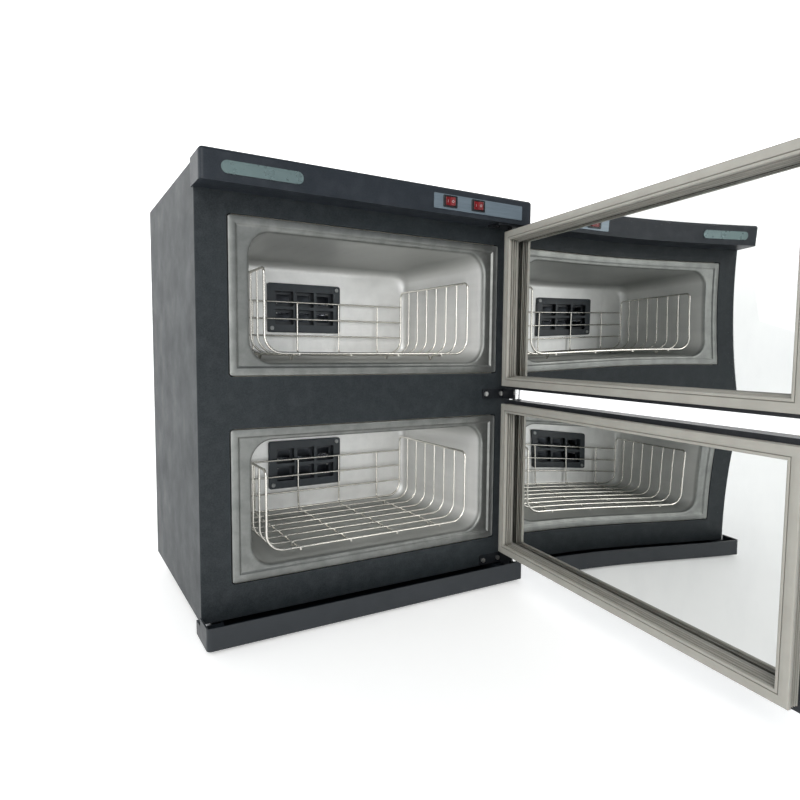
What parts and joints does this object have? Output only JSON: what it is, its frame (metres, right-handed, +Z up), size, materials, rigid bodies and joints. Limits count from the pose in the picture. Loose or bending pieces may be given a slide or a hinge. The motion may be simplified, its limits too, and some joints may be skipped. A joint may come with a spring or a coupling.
{
  "type": "hot towel cabinet",
  "caption": "Two-chamber countertop hot towel cabinet with hinged glass doors, slide-out wire baskets, rocker switches, lamp covers and a drip tray.",
  "frame": {"origin": "centre of the cabinet body's footprint, doors and overhangs left out, on the surface the rubber feet rest on", "axes": "+X to the viewer's right (hinge side), front faces -Y, +Z up"},
  "size_m": [0.454, 0.7721, 0.545],
  "materials": {
    "shell_paint": "charcoal powder coat, fine texture",
    "fascia_paint": "charcoal satin paint",
    "tray_plastic": "dark satin plastic",
    "liner_aluminium": "satin drawn aluminium",
    "insulation_foam": "felted fibre",
    "heater_silicone": "matte silicone",
    "dark_plastic": "fine-grained moulded",
    "thermostat_body": "plated steel",
    "fuse_body": "white ceramic",
    "screw_steel": "nickel plated",
    "galvanised": "bright reflector sheet",
    "lamp_glass": "clear quartz with metal caps",
    "holder_plastic": "white moulded",
    "ballast_case": "light grey moulded",
    "terminal_plastic": "cream moulded",
    "gland_plastic": "black moulded",
    "control_foil": "blue-grey satin",
    "badge_foil": "grey-green pearl, satin",
    "switch_black": "black, semi-gloss",
    "rocker_red": "translucent red, glossy",
    "bracket_paint": "black satin",
    "pin_chrome": "polished",
    "washer_nylon": "black nylon",
    "foot_rubber": "matte",
    "basket_wire": "bright stainless wire",
    "door_frame_paint": "black satin moulding",
    "door_glass": "dark mirror tint",
    "retainer_plastic": "black satin",
    "gasket_vinyl": "warm grey soft vinyl",
    "magnet_bar": "bonded ferrite",
    "bush_nylon": "natural nylon",
    "handle_plastic": "black, semi-gloss"
  },
  "bodies": {
    "cabinet": {"front_panel": "shell_paint", "left_side_panel": "shell_paint", "right_side_panel": "shell_paint", "top_panel": "shell_paint", "bottom_panel": "shell_paint", "back_panel": "shell_paint", "back_panel_screws": "screw_steel", "cord_gland": "gland_plastic", "thermostats": "thermostat_body", "thermal_fuses": "fuse_body", "lamp_cover_screws": "screw_steel", "lamp_holders": "holder_plastic", "lamp_ballast": "ballast_case", "terminal_block": "terminal_plastic", "top_fascia": "fascia_paint", "control_plate": "control_foil", "badge": "badge_foil", "middle_hinge_bracket": "bracket_paint", "bottom_hinge_bracket": "bracket_paint", "top_hinge_plate": "bracket_paint", "hinge_screws": "screw_steel", "top_hinge_pin": "pin_chrome", "middle_hinge_pin": "pin_chrome", "bottom_hinge_pin": "pin_chrome", "hinge_washers": "washer_nylon", "rubber_feet": "foot_rubber", "tray_runners": "galvanised", "heat_switch_body": "switch_black", "uv_switch_body": "switch_black", "upper_liner": "liner_aluminium", "upper_insulation": "insulation_foam", "upper_heater_pad": "heater_silicone", "upper_lamp_cover": "dark_plastic", "upper_lamp_housing": "galvanised", "upper_uv_lamp": "lamp_glass", "lower_liner": "liner_aluminium", "lower_insulation": "insulation_foam", "lower_heater_pad": "heater_silicone", "lower_lamp_cover": "dark_plastic", "lower_lamp_housing": "galvanised", "lower_uv_lamp": "lamp_glass"},
    "upper_door": {"upper_door_frame": "door_frame_paint", "upper_door_glass": "door_glass", "upper_door_retainer": "retainer_plastic", "upper_door_gasket": "gasket_vinyl", "upper_door_magnets": "magnet_bar", "upper_door_bushes": "bush_nylon", "upper_door_handle": "handle_plastic"},
    "upper_basket_body": {"upper_basket": "basket_wire"},
    "lower_door": {"lower_door_frame": "door_frame_paint", "lower_door_glass": "door_glass", "lower_door_retainer": "retainer_plastic", "lower_door_gasket": "gasket_vinyl", "lower_door_magnets": "magnet_bar", "lower_door_bushes": "bush_nylon", "lower_door_handle": "handle_plastic"},
    "lower_basket_body": {"lower_basket": "basket_wire"},
    "heat_rocker_body": {"heat_rocker": "rocker_red"},
    "uv_rocker_body": {"uv_rocker": "rocker_red"},
    "drip_tray_body": {"drip_tray": "tray_plastic"}
  },
  "joints": [
    {"name": "upper_door_hinge", "type": "hinge", "parent": "cabinet", "child": "upper_door", "pos_m": [0.2145, -0.1775, 0.3945], "axis": [0, 0, 1], "range_deg": [-83, 22]},
    {"name": "lower_door_hinge", "type": "hinge", "parent": "cabinet", "child": "lower_door", "pos_m": [0.2145, -0.1775, 0.1555], "axis": [0, 0, 1], "range_deg": [-83, 22]},
    {"name": "upper_basket_slide", "type": "slide", "parent": "cabinet", "child": "upper_basket_body", "axis": [0, -1, 0], "range_m": [0, 0.15]},
    {"name": "lower_basket_slide", "type": "slide", "parent": "cabinet", "child": "lower_basket_body", "axis": [0, -1, 0], "range_m": [0, 0.15]},
    {"name": "uv_rocker_turn", "type": "hinge", "parent": "cabinet", "child": "uv_rocker_body", "pos_m": [0.0864, -0.1857, 0.527], "axis": [0, 0, 1], "range_deg": [0, 20]},
    {"name": "heat_rocker_turn", "type": "hinge", "parent": "cabinet", "child": "heat_rocker_body", "pos_m": [0.1312, -0.1857, 0.527], "axis": [0, 0, 1], "range_deg": [0, 20]},
    {"name": "drip_tray_slide", "type": "slide", "parent": "cabinet", "child": "drip_tray_body", "axis": [0, -1, 0], "range_m": [0, 0.06]}
  ]
}
